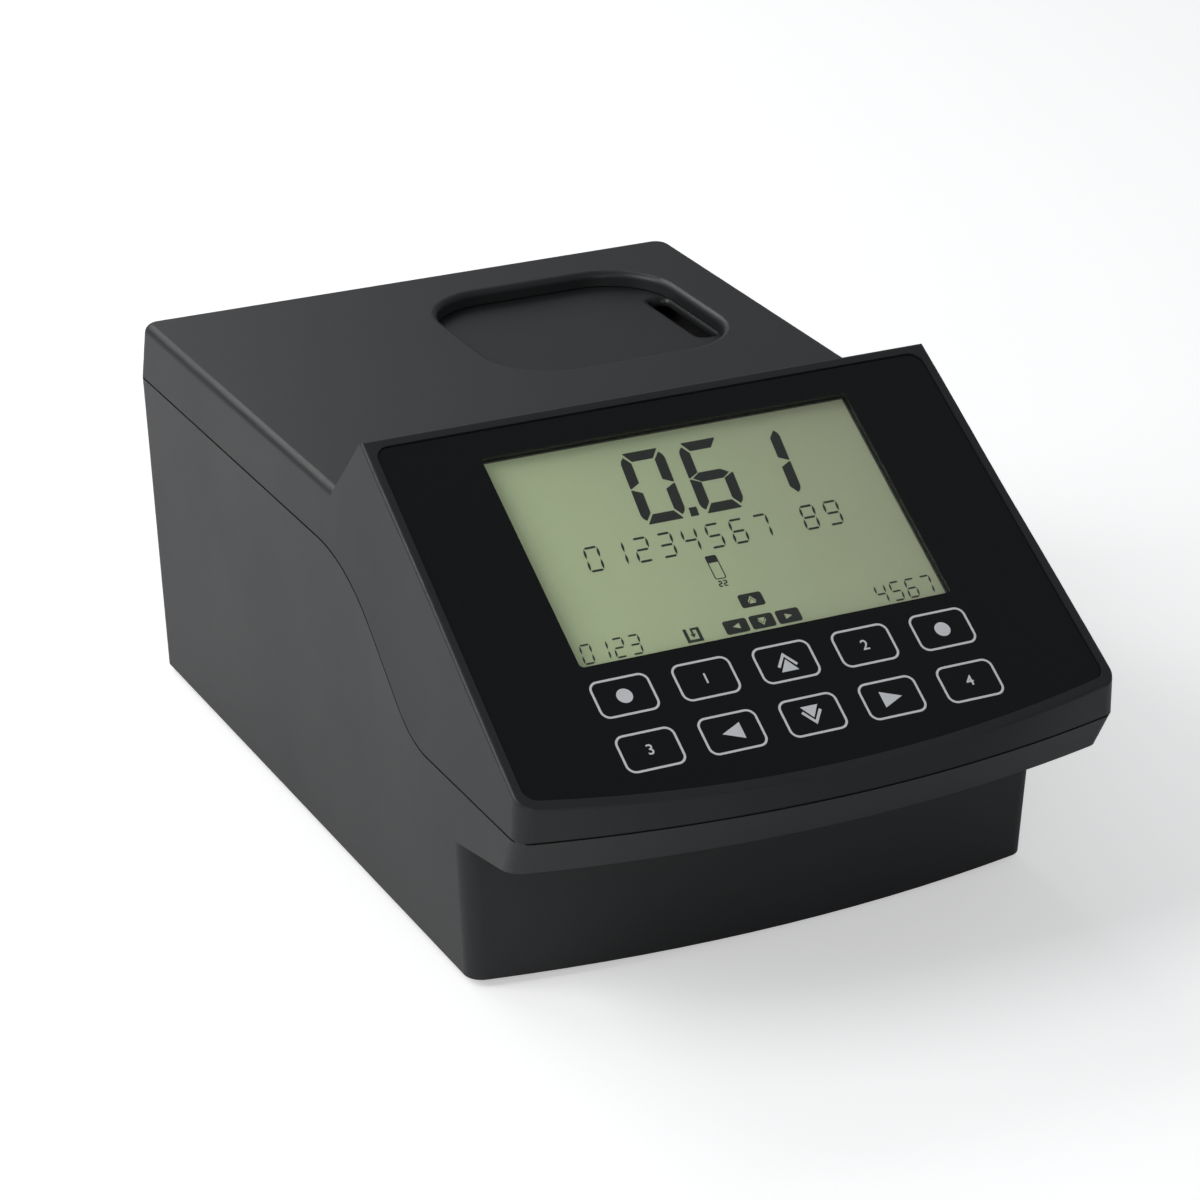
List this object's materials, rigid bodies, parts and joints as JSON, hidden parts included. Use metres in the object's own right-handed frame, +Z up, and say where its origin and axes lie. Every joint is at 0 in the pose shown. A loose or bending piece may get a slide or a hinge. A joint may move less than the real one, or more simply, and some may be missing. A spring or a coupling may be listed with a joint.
{
  "type": "spectrophotometer",
  "caption": "Benchtop spectrophotometer with a sloping display console, sliding cell compartment cover and geared grating drive inside a moulded housing.",
  "frame": {"origin": "on the table, in the middle of the bounding box's base", "axes": "+Z up, -Y towards the user (the sloping console), +X to the user's right"},
  "size_m": [0.205, 0.3218, 0.1526],
  "materials": {
    "housing_plastic": "fine satin texture",
    "foot_rubber": "matte",
    "screw_steel": "satin",
    "panel_sheet": "gloss",
    "window_clear": "clear",
    "display_grey": "satin",
    "backlight_white": "satin",
    "frame_black": "matte",
    "board_green": "satin",
    "cover_plastic": "fine satin texture",
    "holder_black": "matte",
    "bench_aluminium": "satin",
    "gear_brass": "satin",
    "grating_mirror": "polished",
    "motor_case": "satin",
    "lamp_glass": "clear",
    "slit_black": "matte",
    "chip_black": "matte",
    "battery_wrap": "satin",
    "rocker_black": "satin",
    "socket_black": "matte",
    "socket_metal": "satin"
  },
  "bodies": {
    "housing": {"lower_housing": "housing_plastic", "upper_housing": "housing_plastic", "rubber_feet": "foot_rubber", "battery_door": "housing_plastic", "lamp_door": "housing_plastic", "housing_screws": "screw_steel", "control_panel": "panel_sheet", "display_window": "window_clear", "display_glass": "display_grey", "display_backlight": "backlight_white", "display_tray": "frame_black", "touch_board": "board_green", "cell_compartment": "frame_black", "cell_holder": "holder_black", "optical_bench": "bench_aluminium", "bench_screws": "screw_steel", "grating_bush": "gear_brass", "stepper_motor": "motor_case", "lamp_house": "bench_aluminium", "lamp": "lamp_glass", "condenser_lens": "window_clear", "lens_stand": "bench_aluminium", "entrance_slit": "slit_black", "exit_slit": "slit_black", "detector": "frame_black", "main_board": "board_green", "board_screws": "screw_steel", "board_components": "chip_black", "battery_pack": "battery_wrap", "switch_bezel": "frame_black", "power_socket": "socket_black", "data_socket": "socket_metal"},
    "cover": {"sliding_cover": "cover_plastic"},
    "rocker": {"power_rocker": "rocker_black"},
    "grating_carrier": {"grating_table": "gear_brass", "grating": "grating_mirror"},
    "pinion": {"motor_pinion": "screw_steel"}
  },
  "joints": [
    {"name": "cover_slide", "type": "slide", "parent": "housing", "child": "cover", "axis": [-1, 0, 0], "range_m": [0, 0.076]},
    {"name": "power_switch", "type": "hinge", "parent": "housing", "child": "rocker", "pos_m": [-0.066, 0.15092, 0.02623], "axis": [1, 0, 0], "range_deg": [0, 20]},
    {"name": "grating_turn", "type": "hinge", "parent": "housing", "child": "grating_carrier", "pos_m": [-0.058, 0.0957, 0.054], "axis": [0, 0, 1], "range_deg": [-12, 18]},
    {"name": "pinion_turn", "type": "hinge", "parent": "housing", "child": "pinion", "pos_m": [-0.058, 0.0597, 0.054], "axis": [0, 0, 1], "range_deg": [-90, 60]}
  ],
  "couplings": [
    {"joint": "pinion_turn", "follows": "grating_turn", "ratio": -5}
  ]
}
